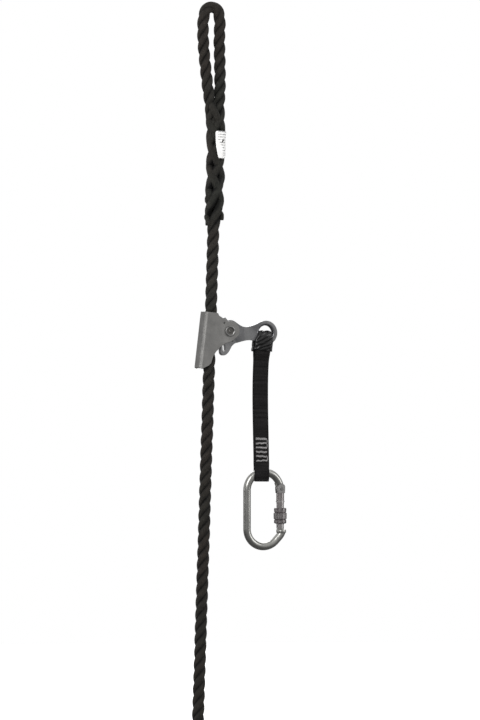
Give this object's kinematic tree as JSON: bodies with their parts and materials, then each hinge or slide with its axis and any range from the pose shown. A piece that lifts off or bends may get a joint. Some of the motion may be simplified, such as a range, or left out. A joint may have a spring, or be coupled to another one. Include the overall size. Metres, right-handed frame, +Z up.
{
  "type": "rope grab",
  "caption": "Fall-arrest rope grab set: cam lever grab sliding on a twisted rope lifeline with spliced eye, webbing extension sling with wear sleeve and a screw-lock oval connector",
  "frame": {"origin": "centre of the rope's lower cut end", "axes": "+Z up along the rope, +X from the rope towards the ring of the grab, +Y away from the front of the grab"},
  "size_m": [0.1466, 0.027, 0.9633],
  "materials": {
    "twisted_rope": "twisted multifilament, slight sheen",
    "label_strip": "printed strip",
    "sheet_steel": "dull stainless sheet",
    "cast_steel": "satin stainless forging",
    "pin_steel": "plain steel",
    "spring_wire": "spring wire",
    "bronze_bush": "plain bearing bronze",
    "sling_web": "woven webbing",
    "sleeve_tube": "shiny black tube",
    "stitch_thread": "grey sewing thread",
    "connector_steel": "polished zinc-plated steel"
  },
  "bodies": {
    "lifeline": {"anchor_rope": "twisted_rope", "eye_splice_strands": "twisted_rope", "identification_label": "label_strip", "rope_end_whipping": "sleeve_tube"},
    "grab": {"housing": "sheet_steel", "pivot_pin": "pin_steel", "pin_washer_front": "pin_steel", "pin_washer_rear": "pin_steel", "spring_bush": "bronze_bush", "return_spring": "spring_wire"},
    "cam_lever": {"cam_lever": "cast_steel"},
    "sling": {"sling_webbing": "sling_web", "wear_sleeve": "sleeve_tube", "bar_tack_stitching": "stitch_thread"},
    "connector": {"carabiner_body": "connector_steel", "gate_hinge_rivet": "connector_steel"},
    "gate": {"gate": "connector_steel", "gate_stop_collar": "connector_steel", "gate_latch_pin": "pin_steel", "gate_spring": "spring_wire"},
    "gate_plunger": {"gate_plunger": "pin_steel"},
    "locking_sleeve": {"locking_sleeve": "connector_steel"}
  },
  "joints": [
    {"name": "grab_slide", "type": "slide", "parent": "lifeline", "child": "grab", "axis": [0, 0, 1], "range_m": [-0.44, 0.105], "stiffness_N_per_m": 20, "springref_m": 0.222},
    {"name": "cam_pivot", "type": "hinge", "parent": "grab", "child": "cam_lever", "pos_m": [0.0234, 0, 0.5365], "axis": [0, 1, 0], "range_deg": [-30, 2.5], "stiffness_Nm_per_rad": 0.05, "springref_deg": 20.05},
    {"name": "sling_swing", "type": "hinge", "parent": "cam_lever", "child": "sling", "pos_m": [0.0769, 0, 0.536], "axis": [0, 1, 0], "range_deg": [-100, 6]},
    {"name": "carabiner_swing", "type": "hinge", "parent": "sling", "child": "connector", "pos_m": [0.0814, 0, 0.3538], "axis": [1, 0, 0], "range_deg": [-35, 35]},
    {"name": "gate_open", "type": "hinge", "parent": "connector", "child": "gate", "pos_m": [0.1056, 0, 0.33268], "axis": [0, 1, 0], "range_deg": [0, 28], "stiffness_Nm_per_rad": 0.15, "springref_deg": -28.65},
    {"name": "gate_plunger_slide", "type": "slide", "parent": "gate", "child": "gate_plunger", "axis": [0.0339, 0, -0.9994], "range_m": [0, 0.0009], "deforming": ["gate_spring"]},
    {"name": "sleeve_travel", "type": "slide", "parent": "gate", "child": "locking_sleeve", "axis": [0.0339, 0, -0.9994], "range_m": [-0.0065, 0.0075], "stiffness_N_per_m": 30, "springref_m": -0.0075}
  ],
  "couplings": [
    {"joint": "gate_plunger_slide", "follows": "gate_open", "m_per_rad": 0.0016354}
  ]
}
